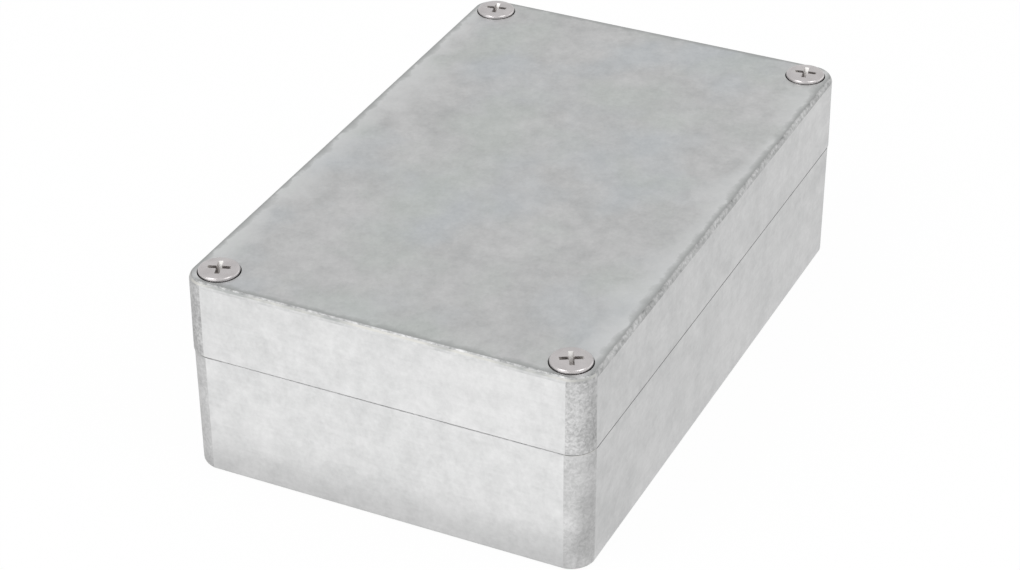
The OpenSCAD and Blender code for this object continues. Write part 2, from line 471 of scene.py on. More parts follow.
def screw_places():
    """Where the four lid screws stand."""
    return [Vector(sum(screw_box(body), Vector()).xy) / 2 for body in SCREWS]


def pocket(shape, seam, depth):
    """Drafted pocket over the sealed space. It opens at the seam, and a negative depth goes up."""
    sizes = bpy.context.scene.casting_sizes
    way = math.copysign(1, depth)
    wall_end = abs(depth) - sizes.cove
    lean = wall_end * math.tan(sizes.cavity_draft)
    mouth = bpy.context.scene.hole_sizes.mouth
    rings = [(mouth, -CUT), (mouth, 0), (0, mouth)]
    for turn in quarter_turns(COVE_STEPS):
        inset = lean + sizes.cove * (1 - math.cos(turn))
        rings.append((-inset, wall_end + sizes.cove * math.sin(turn)))
    loft(shape, [at_height(sealed_outline(offset), seam - way * down) for offset, down in rings])


def ejector_marks(name, marks, height, material):
    """Shallow round cutters where the ejector pins stood: four, and three along the middle."""
    sizes = bpy.context.scene.casting_sizes
    x, y, far = marks
    profile = [(sizes.ejector_radius, height + sizes.ejector_depth * way) for way in (-1, 1)]
    shape = bmesh.new()
    turned(shape, four(x, y) + [Vector((place, 0)) for place in (-far, 0, far)], profile)
    return solid(name, shape, material)


# ---------------------------------------------------------------- nodes


def feed(node, inputs):
    """Fills or links a node's inputs. A node given as a value stands for its first live output."""
    for key, value in inputs.items():
        if isinstance(value, bpy.types.Node):
            value = next(socket for socket in value.outputs if socket.enabled)
        if isinstance(value, bpy.types.NodeSocket):
            node.id_data.links.new(value, node.inputs[key])
        else:
            node.inputs[key].default_value = value


def add(tree, kind, inputs=None, **settings):
    """Adds a node, sets its properties, and feeds its inputs."""
    node = tree.nodes.new(kind)
    for name, value in settings.items():
        setattr(node, name, value)
    feed(node, inputs or {})
    return node


def node_tree(name, inputs):
    """Geometry node tree with named inputs and one geometry output, and its input node's sockets."""
    tree = bpy.data.node_groups.new(name, "GeometryNodeTree")
    for label, kind in inputs.items():
        tree.interface.new_socket(label, in_out="INPUT", socket_type="NodeSocket" + kind)
    tree.interface.new_socket("Geometry", in_out="OUTPUT", socket_type="NodeSocketGeometry")
    return tree, add(tree, "NodeGroupInput").outputs


def coated(tree, geometry, material):
    """Geometry with its instances made real, all in one material."""
    real = add(tree, "GeometryNodeRealizeInstances", {"Geometry": geometry})
    return add(tree, "GeometryNodeSetMaterial", {"Geometry": real, "Material": material})


def threaded_rod(tree, given):
    """The threaded rod inside another tree, with the thread sizes that the tree is given."""
    sizes = {label: given[label] for label in THREAD_INPUTS}
    return add(tree, "GeometryNodeGroup", sizes, node_tree=tree_named("Threaded rod"))


def with_nodes(made, tree, **values):
    """Gives an object a geometry node tree with these inputs, and bakes it."""
    modifier = made.modifiers.new(tree.name, "NODES")
    modifier.node_group = tree
    sockets = {item.name: item.identifier for item in tree.interface.items_tree if item.in_out == "INPUT"}
    for label, value in values.items():
        modifier[sockets[label.replace("_", " ")]] = value
    return baked(made)


def threaded_rod_tree():
    """A rod whose radius rises and falls once in each pitch, along a helix about Z."""
    tree, given = node_tree("Threaded rod", THREAD_INPUTS)
    length = add(tree, "ShaderNodeMath", {0: given["Top"], 1: given["Bottom"]}, operation="SUBTRACT")
    turns = add(tree, "ShaderNodeMath", {0: length, 1: given["Pitch"]}, operation="DIVIDE")
    rows = add(tree, "ShaderNodeMath", {0: turns, 1: given["Rows"]}, operation="MULTIPLY")
    rod = add(tree, "GeometryNodeMeshCylinder", {
        "Vertices": THREAD_STEPS, "Side Segments": rows, "Radius": 1.0, "Depth": length,
    })
    half = add(tree, "ShaderNodeMath", {0: length, 1: 0.5}, operation="MULTIPLY")
    middle = add(tree, "ShaderNodeMath", {0: given["Bottom"], 1: half}, operation="ADD")
    point = add(tree, "ShaderNodeSeparateXYZ", {0: add(tree, "GeometryNodeInputPosition")}).outputs
    height = add(tree, "ShaderNodeMath", {0: point[2], 1: middle}, operation="ADD")

    # The wave goes from 0 to a half and back in each pitch. Its foot and its top are cut off flat
    angle = add(tree, "ShaderNodeMath", {0: point[1], 1: point[0]}, operation="ARCTAN2")
    round_share = add(tree, "ShaderNodeMath", {0: angle, 1: 4 * QUARTER}, operation="DIVIDE")
    rise = add(tree, "ShaderNodeMath", {0: height, 1: given["Pitch"]}, operation="DIVIDE")
    phase = add(tree, "ShaderNodeMath", {0: rise, 1: round_share}, operation="SUBTRACT")
    wave = add(tree, "ShaderNodeMath", {0: phase, 1: 0.5}, operation="PINGPONG")
    thread = add(tree, "ShaderNodeMapRange", {
        "Value": wave, "From Min": 0.1, "From Max": 0.42, "To Min": given["Root"], "To Max": given["Crest"],
    })

    # The lower end is a cone
    start = add(tree, "ShaderNodeMath", {0: height, 1: given["Bottom"]}, operation="SUBTRACT")
    widest = add(tree, "ShaderNodeMath", {0: given["Crest"], 1: given["Point"]}, operation="SUBTRACT")
    cone = add(tree, "ShaderNodeMath", {0: start, 1: widest}, operation="ADD")
    radius = add(tree, "ShaderNodeMath", {0: thread, 1: cone}, operation="MINIMUM")
    x = add(tree, "ShaderNodeMath", {0: point[0], 1: radius}, operation="MULTIPLY")
    y = add(tree, "ShaderNodeMath", {0: point[1], 1: radius}, operation="MULTIPLY")
    place = add(tree, "ShaderNodeCombineXYZ", {0: x, 1: y, 2: height})
    shaped = add(tree, "GeometryNodeSetPosition", {"Geometry": rod, "Position": place})
    add(tree, "NodeGroupOutput", {"Geometry": shaped})


def tapped_holes_tree():
    """The same threaded rod at each point of the mesh that carries the tree."""
    tree, given = node_tree("Tapped holes", {
        "Geometry": "Geometry", **THREAD_INPUTS, "Material": "Material",
    })
    rod = threaded_rod(tree, given)
    spread = add(tree, "GeometryNodeInstanceOnPoints", {"Points": given["Geometry"], "Instance": rod})
    add(tree, "NodeGroupOutput", {"Geometry": coated(tree, spread, given["Material"])})


def lid_screw_tree():
    """A lid screw: a head turned from the profile that carries the tree, a cross recess and a thread."""
    tree, given = node_tree("Lid screw", {
        "Geometry": "Geometry", "Place": "Vector", "Turn": "Float", "Head top": "Float",
        "Span": "Float", "Slot": "Float", "Depth": "Float", **THREAD_INPUTS,
        "Material": "Material", "Recess material": "Material",
    })
    profile = add(tree, "GeometryNodeMeshToCurve", {"Mesh": given["Geometry"]})
    path = add(tree, "GeometryNodeCurvePrimitiveCircle", {"Resolution": BORE_STEPS, "Radius": LATHE})
    swept = add(tree, "GeometryNodeCurveToMesh", {"Curve": path, "Profile Curve": profile})
    head = add(tree, "GeometryNodeMergeByDistance", {"Geometry": swept, "Distance": WELD})

    # One arm of the recess is a block, as deep again above the head's top, that narrows as it goes down
    above = add(tree, "ShaderNodeMath", {0: given["Depth"], 1: 2.0}, operation="MULTIPLY")
    size = add(tree, "ShaderNodeCombineXYZ", {0: given["Span"], 1: given["Slot"], 2: above})
    block = add(tree, "GeometryNodeMeshCube", {"Size": size})
    here = add(tree, "GeometryNodeInputPosition")
    point = add(tree, "ShaderNodeSeparateXYZ", {0: here}).outputs
    share = add(tree, "ShaderNodeMath", {0: point[2], 1: given["Depth"]}, operation="DIVIDE")
    long_way, wide_way = [
        add(tree, "ShaderNodeMapRange", {
            "Value": share, "From Min": -1.0, "From Max": 1.0, "To Min": 1 - taper, "To Max": 1 + taper,
        })
        for taper in ARM_TAPERS
    ]
    factor = add(tree, "ShaderNodeCombineXYZ", {0: long_way, 1: wide_way, 2: 1.0})
    taper = add(tree, "ShaderNodeVectorMath", {0: here, 1: factor}, operation="MULTIPLY")
    arm = add(tree, "GeometryNodeSetPosition", {"Geometry": block, "Position": taper})
    crossed = add(tree, "GeometryNodeTransform", {"Geometry": arm, "Rotation": (0, 0, QUARTER)})

    # A four-sided pit in the middle goes twice as deep as the arms
    cone = add(tree, "GeometryNodeMeshCone", {
        "Vertices": 4, "Radius Top": PIT_TOP, "Radius Bottom": PIT_FOOT, "Depth": above,
    })
    down = add(tree, "ShaderNodeMath", {0: given["Depth"], 1: -1.0}, operation="MULTIPLY")
    sunk = add(tree, "ShaderNodeCombineXYZ", {2: down})
    pit = add(tree, "GeometryNodeTransform", {"Geometry": cone, "Translation": sunk})
    turn = add(tree, "ShaderNodeCombineXYZ", {2: given["Turn"]})
    lift = add(tree, "ShaderNodeCombineXYZ", {2: given["Head top"]})
    cutters = [
        add(tree, "GeometryNodeTransform", {"Geometry": part, "Translation": lift, "Rotation": turn})
        for part in (arm, crossed, pit)
    ]
    for cutter in cutters:
        head = add(tree, "GeometryNodeMeshBoolean", {
            "Mesh 1": head, "Mesh 2": cutter,
        }, operation="DIFFERENCE", solver="EXACT")

    rod = threaded_rod(tree, given)
    # The union takes the rod and the head through one input
    whole = add(tree, "GeometryNodeMeshBoolean", {"Mesh 2": rod}, operation="UNION", solver="EXACT")
    feed(whole, {"Mesh 2": head})
    placed = add(tree, "GeometryNodeTransform", {"Geometry": whole, "Translation": given["Place"]})
    steel = coated(tree, placed, given["Material"])

    # The walls of the recess are the faces within its reach, below the crown and above the screw's shank
    away = add(tree, "ShaderNodeVectorMath", {0: here, 1: given["Place"]}, operation="SUBTRACT")
    point = add(tree, "ShaderNodeSeparateXYZ", {0: away}).outputs
    flat = add(tree, "ShaderNodeCombineXYZ", {0: point[0], 1: point[1]})
    radius = add(tree, "ShaderNodeVectorMath", {0: flat}, operation="LENGTH")
    below = add(tree, "ShaderNodeMath", {0: given["Head top"], 1: point[2]}, operation="SUBTRACT")
    inside = add(tree, "ShaderNodeMath", {0: radius, 1: RECESS_REACH}, operation="LESS_THAN")
    under = add(tree, "ShaderNodeMath", {0: below, 1: RECESS_TOP}, operation="GREATER_THAN")
    over = add(tree, "ShaderNodeMath", {0: below, 1: RECESS_END}, operation="LESS_THAN")
    walls = add(tree, "ShaderNodeMath", {0: inside, 1: under}, operation="MULTIPLY")
    walls = add(tree, "ShaderNodeMath", {0: walls, 1: over}, operation="MULTIPLY")
    # The recess walls take the material with the painted highlight and shade
    coined = add(tree, "GeometryNodeSetMaterial", {
        "Geometry": steel, "Selection": walls, "Material": given["Recess material"],
    })
    add(tree, "NodeGroupOutput", {"Geometry": coined})


def seal_band_tree():
    """A band of rounded section along the closed path that carries the tree."""
    tree, given = node_tree("Seal band", {
        "Geometry": "Geometry", "Width": "Float", "Height": "Float", "Bottom": "Float", "Rounding": "Float",
        "Material": "Material",
    })
    path = add(tree, "GeometryNodeMeshToCurve", {"Mesh": given["Geometry"]})
    upright = add(tree, "GeometryNodeSetCurveNormal", {"Curve": path}, mode="Z_UP")
    section = add(tree, "GeometryNodeCurvePrimitiveQuadrilateral", {
        "Width": given["Width"], "Height": given["Height"],
    })
    rounded = add(tree, "GeometryNodeFilletCurve", {
        "Curve": section, "Radius": given["Rounding"], "Count": BAND_STEPS,
    }, mode="POLY")
    band = add(tree, "GeometryNodeCurveToMesh", {"Curve": upright, "Profile Curve": rounded})
    half = add(tree, "ShaderNodeMath", {0: given["Height"], 1: 0.5}, operation="MULTIPLY")
    middle = add(tree, "ShaderNodeMath", {0: given["Bottom"], 1: half}, operation="ADD")
    lift = add(tree, "ShaderNodeCombineXYZ", {2: middle})
    placed = add(tree, "GeometryNodeTransform", {"Geometry": band, "Translation": lift})
    add(tree, "NodeGroupOutput", {"Geometry": coated(tree, placed, given["Material"])})


TREES = {
    "Threaded rod": threaded_rod_tree,
    "Tapped holes": tapped_holes_tree,
    "Lid screw": lid_screw_tree,
    "Seal band": seal_band_tree,
}


def tree_named(name):
    """A geometry node tree, built the first time that it is asked for."""
    if name not in bpy.data.node_groups:
        TREES[name]()
    return bpy.data.node_groups[name]


# ---------------------------------------------------------------- finishes


def per(size_mm):
    """Noise scale, in Object coordinates in metres, whose features are about that many millimetres."""
    return 1 / (size_mm * MM)


def metal(name):
    """New material, its tree, its metal shader and its Object coordinates."""
    made = bpy.data.materials.new(name)
    made.use_nodes = True
    tree = made.node_tree
    tree.nodes.clear()
    shader = add(tree, "ShaderNodeBsdfPrincipled", {"Metallic": 1.0})
    add(tree, "ShaderNodeOutputMaterial", {"Surface": shader})
    return made, tree, shader, add(tree, "ShaderNodeTexCoord").outputs["Object"]


def clouded(tree, noise, start, end, first, second):
    """Colour that goes from the first to the second while a noise goes from its start to its end."""
    share = add(tree, "ShaderNodeMapRange", {"Value": noise, "From Min": start, "From Max": end})
    return add(tree, "ShaderNodeMix", {0: share, 6: first, 7: second}, data_type="RGBA")


def lid_top(tree, place):
    """Share that is 1 on the flat top of the lid, and the distances to its ends and to its long sides."""
    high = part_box("lid")[1]
    just_under = high.z - 0.1 * MM
    point = add(tree, "ShaderNodeSeparateXYZ", {0: place}).outputs
    distances = []
    for axis in (0, 1):
        out = add(tree, "ShaderNodeMath", {0: point[axis]}, operation="ABSOLUTE")
        distances.append(add(tree, "ShaderNodeMath", {0: high[axis], 1: out}, operation="SUBTRACT"))
    return add(tree, "ShaderNodeMath", {0: point[2], 1: just_under}, operation="GREATER_THAN"), *distances


def rubbed_top(tree, place, colour):
    """Colour with the marks of the lid's top: rubbed pale along the long sides, dull along every edge."""
    colours = bpy.context.scene.finishes
    top, to_end, to_side = lid_top(tree, place)

    # The rubbing fades out 2 to 12 mm in from the long sides
    wear = add(tree, "ShaderNodeTexNoise", {"Vector": place, "Scale": per(12), "Detail": 4.0})
    reach = add(tree, "ShaderNodeMapRange", {
        "Value": wear, "From Min": 0.3, "From Max": 0.7, "To Min": 2 * MM, "To Max": 12 * MM,
    })
    rubbed = add(tree, "ShaderNodeMapRange", {
        "Value": to_side, "From Min": 1 * MM, "From Max": reach, "To Min": 0.75, "To Max": 0.0,
    })

    # The dull margin is 1.2 to 3 mm wide
    smudge = add(tree, "ShaderNodeTexNoise", {
        "Vector": place, "Scale": per(4), "Detail": 4.0, "Roughness": 0.6,
    })
    reach = add(tree, "ShaderNodeMapRange", {
        "Value": smudge, "From Min": 0.35, "From Max": 0.7, "To Min": 1.2 * MM, "To Max": 3 * MM,
    })
    nearest = add(tree, "ShaderNodeMath", {0: to_end, 1: to_side}, operation="MINIMUM")
    dull = add(tree, "ShaderNodeMapRange", {
        "Value": nearest, "From Min": 0.7 * MM, "From Max": reach, "To Min": 1.0, "To Max": 0.0,
    })
    for share, tint in ((rubbed, colours.rubbed), (dull, colours.margin)):
        share = add(tree, "ShaderNodeMath", {0: share, 1: top}, operation="MULTIPLY")
        colour = add(tree, "ShaderNodeMix", {0: share, 6: colour, 7: tint}, data_type="RGBA")
    return colour


def linished_aluminium():
    """Raw die cast aluminium, ground flat on a belt and tumbled: a soft grey bloom a centimetre or two wide,
    a fine grain, faint belt lines along the sides, and cool and greenish clouds on the lid's top."""
    colours = bpy.context.scene.finishes
    made, tree, shader, place = metal("linished_aluminium")
    top = lid_top(tree, place)[0]

    # The bloom is deeper on the top than on the sides
    bloom = add(tree, "ShaderNodeTexNoise", {
        "Vector": place, "Scale": per(14), "Detail": 8.0, "Roughness": 0.72,
    })
    palest = add(tree, "ShaderNodeMath", {0: top, 1: -0.3, 2: 0.55}, operation="MULTIPLY_ADD")
    share = add(tree, "ShaderNodeMapRange", {
        "Value": bloom, "From Min": 0.32, "From Max": 0.62, "To Min": palest,
    })
    colour = add(tree, "ShaderNodeMix", {0: share, 6: colours.flat_dark, 7: colours.flat}, data_type="RGBA")
    for tint, size_mm, apart in ((colours.cool, 24, 3.1), (colours.green, 19, 8.7)):
        moved = add(tree, "ShaderNodeMapping", {"Vector": place, "Location": (apart, apart, apart)})
        cloud = add(tree, "ShaderNodeTexNoise", {"Vector": moved, "Scale": per(size_mm), "Detail": 4.0})
        share = add(tree, "ShaderNodeMapRange", {
            "Value": cloud, "From Min": 0.48, "From Max": 0.66, "To Max": 0.7,
        })
        share = add(tree, "ShaderNodeMath", {0: share, 1: top}, operation="MULTIPLY")
        colour = add(tree, "ShaderNodeMix", {0: share, 6: colour, 7: tint}, data_type="RGBA")

    # Belt lines run round the box. The mottle and the grain are the same all over
    belt = add(tree, "ShaderNodeMapping", {"Vector": place, "Scale": (1, 1, 14)})
    lines = add(tree, "ShaderNodeTexNoise", {"Vector": belt, "Scale": per(9), "Detail": 5.0})
    mottle = add(tree, "ShaderNodeTexNoise", {"Vector": place, "Scale": per(3.5), "Detail": 4.0})
    grain = add(tree, "ShaderNodeTexNoise", {
        "Vector": place, "Scale": per(0.9), "Detail": 3.0, "Roughness": 0.7,
    })
    for noise, strength in ((lines, 0.06), (mottle, 0.1), (grain, 0.14)):
        share = add(tree, "ShaderNodeMapRange", {"Value": noise, "From Min": 0.25, "From Max": 0.75})
        colour = add(tree, "ShaderNodeMix", {
            0: strength, 6: colour, 7: share,
        }, data_type="RGBA", blend_type="SOFT_LIGHT")
    gloss = add(tree, "ShaderNodeMapRange", {
        "Value": bloom, "From Min": 0.3, "From Max": 0.7, "To Min": 0.52, "To Max": 0.42,
    })
    bump = add(tree, "ShaderNodeBump", {"Height": grain, "Strength": 0.2, "Distance": 0.02 * MM})
    feed(shader, {"Base Color": rubbed_top(tree, place, colour), "Roughness": gloss, "Normal": bump})
    return made


def cast_skin(name, light, dark, speckle_mm, contrast, depth_mm):
    """As-cast skin that no belt touched: a rough, speckled surface where the melt met the die."""
    made, tree, shader, place = metal(name)
    speckle = add(tree, "ShaderNodeTexNoise", {
        "Vector": place, "Scale": per(speckle_mm), "Detail": 3.0, "Roughness": 0.6, "Distortion": 0.6,
    })
    colour = clouded(tree, speckle, 0.5 - 0.5 / contrast, 0.5 + 0.3 / contrast, dark, light)
    cloud = add(tree, "ShaderNodeTexNoise", {"Vector": place, "Scale": per(6), "Detail": 4.0})
    share = add(tree, "ShaderNodeMapRange", {"Value": cloud, "From Min": 0.3, "From Max": 0.7})
    colour = add(tree, "ShaderNodeMix", {
        0: 0.25, 6: colour, 7: share,
    }, data_type="RGBA", blend_type="SOFT_LIGHT")
    gloss = add(tree, "ShaderNodeMapRange", {"Value": speckle, "To Min": 0.55, "To Max": 0.4})
    bump = add(tree, "ShaderNodeBump", {"Height": speckle, "Strength": 0.6, "Distance": depth_mm * MM})
    feed(shader, {"Base Color": colour, "Roughness": gloss, "Normal": bump})
    return made


def lid_cast_skin():
    """Skin on the lid's corners: a fine speckle, and the strongest of all the skins."""
    colours = bpy.context.scene.finishes
    return cast_skin(
        "lid_cast_skin", colours.skin, colours.skin_dark, speckle_mm=0.55, contrast=2.2, depth_mm=0.05)


def tub_cast_skin():
    """Skin on the tub's corners and foot, smoother and more even than the lid's. On the rim's rounding at
    the ends and corners it is a lighter painted seam shade.
    """
    colours = bpy.context.scene.finishes
    return cast_skin(
        "tub_cast_skin", colours.tub_skin, colours.skin_dark, speckle_mm=0.7, contrast=1.0, depth_mm=0.03)


def plain_cast_skin():
    """Even skin inside both castings, and just under the worn top edge of the lid's ends."""
    colours = bpy.context.scene.finishes
    return cast_skin(
        "plain_cast_skin", colours.flat, colours.flat_dark, speckle_mm=1.4, contrast=1.8, depth_mm=0.03)


def edge_cast_skin():
    """Skin left on the lid's top edge, dark where the belt didn't reach. On the lid's rim at the ends it is
    a lighter painted seam shade.
    """
    colours = bpy.context.scene.finishes
    return cast_skin(
        "edge_cast_skin", colours.skin, colours.edge_dark, speckle_mm=0.9, contrast=1.5, depth_mm=0.03)


def burnished_edge():
    """Edge rubbed by the tumbler, with an even sheen and small breaks."""
    colours = bpy.context.scene.finishes
    made, tree, shader, place = metal("burnished_edge")
    breaks = add(tree, "ShaderNodeTexNoise", {"Vector": place, "Scale": per(6), "Detail": 4.0})
    colour = clouded(tree, breaks, 0.34, 0.56, colours.margin, colours.burnished)
    feed(shader, {"Base Color": colour, "Roughness": 0.5})
    return made


def machined_aluminium():
    """Drilled, counterbored and tapped metal: brighter, with fine tool lines round each bore."""
    colours = bpy.context.scene.finishes
    made, tree, shader, place = metal("machined_aluminium")
    tool = add(tree, "ShaderNodeMapping", {"Vector": place, "Scale": (1, 1, 30)})
    lines = add(tree, "ShaderNodeTexNoise", {"Vector": tool, "Scale": per(6), "Detail": 3.0})
    colour = clouded(tree, lines, 0.3, 0.7, colours.flat_dark, colours.machined)
    feed(shader, {"Base Color": colour, "Roughness": 0.32})
    return made


def screw_steel():
    """Cold headed stainless steel: smooth and bright, with a slightly duller, cloudy top."""
    colours = bpy.context.scene.finishes
    made, tree, shader, place = metal("screw_steel")
    cloud = add(tree, "ShaderNodeTexNoise", {"Vector": place, "Scale": per(2.4), "Detail": 4.0})
    colour = clouded(tree, cloud, 0.35, 0.65, colours.steel_dark, colours.steel)
    gloss = add(tree, "ShaderNodeMapRange", {"Value": cloud, "To Min": 0.34, "To Max": 0.2})
    feed(shader, {"Base Color": colour, "Roughness": gloss})
    return made


def punched_recess():
    """Walls of the cross recess with painted light: a painted highlight where they slope up near the top,
    and painted shade on the upright and deeper ones.
    """
    colours = bpy.context.scene.finishes
    made, tree, shader, place = metal("punched_recess")
    normal = add(tree, "ShaderNodeSeparateXYZ", {0: add(tree, "ShaderNodeTexCoord").outputs["Normal"]})
    slope = add(tree, "ShaderNodeMapRange", {"Value": normal.outputs[2], "From Min": 0.2, "From Max": 0.5})
    height = add(tree, "ShaderNodeSeparateXYZ", {0: place}).outputs[2]
    head_top = screw_box("screw_left_front")[1].z
    shallow = add(tree, "ShaderNodeMapRange", {
        "Value": height, "From Min": head_top - 1.5 * MM, "From Max": head_top - 0.5 * MM,
    })
    share = add(tree, "ShaderNodeMath", {0: slope, 1: shallow}, operation="MULTIPLY")
    colour = add(tree, "ShaderNodeMix", {0: share, 6: colours.recess, 7: colours.coined}, data_type="RGBA")
    feed(shader, {"Base Color": colour, "Roughness": 0.45})
    return made


def seam_grime():
    """Painted shade in the seam: a dull, dark film on the metal inside the gap, which stands for the gap's
    shadow.
    """
    colours = bpy.context.scene.finishes
    made, tree, shader, place = metal("seam_grime")
    film = add(tree, "ShaderNodeTexNoise", {"Vector": place, "Scale": per(5), "Detail": 4.0})
    colour = clouded(tree, film, 0.45, 0.8, colours.grime, colours.margin)
    feed(shader, {"Base Color": colour, "Roughness": 0.75})
    return made


def ring_rubber():
    """Moulded neoprene: dark and matt, with a dusty bloom and a fine orange peel."""
    colours = bpy.context.scene.finishes
    made, tree, shader, place = metal("ring_rubber")
    dust = add(tree, "ShaderNodeTexNoise", {"Vector": place, "Scale": per(5), "Detail": 5.0})
    colour = clouded(tree, dust, 0.4, 0.75, colours.rubber, colours.rubber_bloom)
    peel = add(tree, "ShaderNodeTexNoise", {"Vector": place, "Scale": per(0.3), "Detail": 2.0})
    bump = add(tree, "ShaderNodeBump", {"Height": peel, "Strength": 0.4, "Distance": 0.02 * MM})
    feed(shader, {"Base Color": colour, "Metallic": 0.0, "Roughness": 0.72, "IOR": 1.52, "Normal": bump})
    return made


def finish(maker):
    """The material that a maker gives, made the first time that it is asked for."""
    return bpy.data.materials.get(maker.__name__) or maker()


# ---------------------------------------------------------------- pieces


def seal_path(name):
    """Closed line along the middle of the rim, round the sealed space."""
    points = at_height(sealed_outline(bpy.context.scene.casting_sizes.wall / 2), 0)
    mesh = bpy.data.meshes.new(name)
    edges = [(i, (i + 1) % len(points)) for i in range(len(points))]
    mesh.from_pydata(points, edges, [])
    return linked(name, mesh)


def seal_band(name, width, bottom, top, material):
    """Band along the seal's path between two heights."""
    return with_nodes(
        seal_path(name), tree_named("Seal band"), Width=width, Height=top - bottom, Bottom=bottom,
        Rounding=bpy.context.scene.seal_sizes.edge_round, Material=material,
    )


def dress(made, body, slot, *nodes):
    """Puts a finished piece on its body, in place of the plain nodes that it stands for."""
    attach(made, body)
    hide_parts(*nodes)


def make_tub():
    """The lower casting."""
    scene = bpy.context.scene
    sizes, holes, seal, screw = scene.casting_sizes, scene.hole_sizes, scene.seal_sizes, scene.screw_sizes
    low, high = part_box("base")
    half = Vector(high.xy - low.xy) / 2 + Vector((sizes.tub_spread, sizes.tub_spread))
    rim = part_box("lid")[0].z
    inner, bored = finish(plain_cast_skin), finish(machined_aluminium)
    finishes = [finish(f) for f in (linished_aluminium, tub_cast_skin, burnished_edge, seam_grime)]
    flat, skin, burnished, grime = range(len(finishes))

    def ring(inset, height):
        lean = (rim - height) * math.tan(sizes.tub_draft)
        return box_ring(half, lean + inset, sizes.tub_corner - lean - inset, sizes.ground_off, height)

    levels = []
    for turn in quarter_turns(FOOT_STEPS):
        levels.append((sizes.foot_round * (1 - math.sin(turn)), sizes.foot_round * (1 - math.cos(turn))))
    for turn in quarter_turns(RIM_STEPS):
        drop = sizes.relief + sizes.rim_round * (1 - math.sin(turn))
        levels.append((sizes.rim_round * (1 - math.cos(turn)), rim - drop))
    rim_row = len(levels) - 1
    levels += [(sizes.relief_width, rim - sizes.relief), (sizes.relief_width + sizes.relief, rim)]

    # The corners and the lower half of the foot take the as-cast skin, darker towards the floor. Painted
    # seam shade is in the relief and on the rim of the sides
    def region(row, column):
        place = box_face(column)
        if row >= rim_row or row > FOOT_STEPS and place == "side":
            return grime
        if row > FOOT_STEPS:
            # The rim's rounding is rubbed low on the corners. Elsewhere it takes the darker skin, which here
            # is a lighter painted seam shade
            return burnished if place == "corner" and row <= FOOT_STEPS + WORN_STEPS else skin
        return skin if place == "corner" or row < FOOT_STEPS / 2 else flat

    shape = bmesh.new()
    loft(shape, [ring(*level) for level in levels], region)
    tub = solid("tub", shape, *finishes)

    shape = bmesh.new()
    pocket(shape, rim, rim - sizes.floor)
    combine(tub, solid("tub pocket", shape, inner), "DIFFERENCE")
    combine(tub, seal_band("tongue", seal.tongue_width, rim - CUT, high.z, inner), "UNION")

    boss_top = MOUNTS["board_bosses"]["pos_m"][2]
    wide = holes.boss_radius + holes.boss_flare
    profile = [(wide + sizes.foot_round, sizes.floor / 2), (wide + sizes.foot_round, sizes.floor)]
    for turn in quarter_turns(COVE_STEPS)[1:]:
        radius = wide + sizes.foot_round * (1 - math.sin(turn))
        profile.append((radius, sizes.floor + sizes.foot_round * (1 - math.cos(turn))))
    profile += [(holes.boss_radius + holes.mouth, boss_top - holes.mouth), (holes.boss_radius, boss_top)]
    shape = bmesh.new()
    turned(shape, pattern("board_bosses"), profile)
    combine(tub, solid("bosses", shape, inner), "UNION")

    fixing = MOUNTS["wall_fixing_holes"]["dims"]["hole_r_mm"] * MM
    wide = holes.passage_radius
    pilot = MOUNTS["board_bosses"]["dims"]["hole_r_mm"] * MM
    blunt, point = DRILL_END
    thread = screw.thread_radius + screw.thread_play
    shape = bmesh.new()
    turned(shape, pattern("wall_fixing_holes"), [
        (fixing + holes.mouth + CUT, -CUT), (fixing, holes.mouth), (fixing, holes.seat_height),
        (wide, holes.seat_height), (wide, rim - holes.mouth), (wide + holes.mouth + CUT, rim + CUT),
    ])
    turned(shape, pattern("board_bosses"), [
        (blunt * pilot, holes.pilot_floor), (pilot, holes.pilot_floor + point * pilot),
        (pilot, boss_top - holes.mouth), (pilot + holes.mouth + CUT, boss_top + CUT),
    ])
    turned(shape, screw_places(), [
        (screw.thread_root, rim - 4 * holes.mouth), (thread + 2 * holes.mouth, rim + 2 * holes.mouth),
    ])
    combine(tub, solid("tub holes", shape, bored), "DIFFERENCE")

    mesh = bpy.data.meshes.new("tapped holes")
    mesh.from_pydata(at_height(screw_places(), 0), [], [])
    tapped = with_nodes(
        linked("tapped holes", mesh), tree_named("Tapped holes"),
        Crest=thread, Root=screw.thread_root + screw.thread_play, Pitch=screw.pitch,
        Bottom=rim - holes.thread_depth, Top=rim + CUT, Point=TAP_POINT, Rows=screw.rows, Material=bored,
    )
    combine(tub, tapped, "DIFFERENCE")
    combine(tub, ejector_marks("tub marks", TUB_MARKS, sizes.floor, inner), "DIFFERENCE")
    dress(smoothed(tub), "base", "die_cast_aluminium", "base")


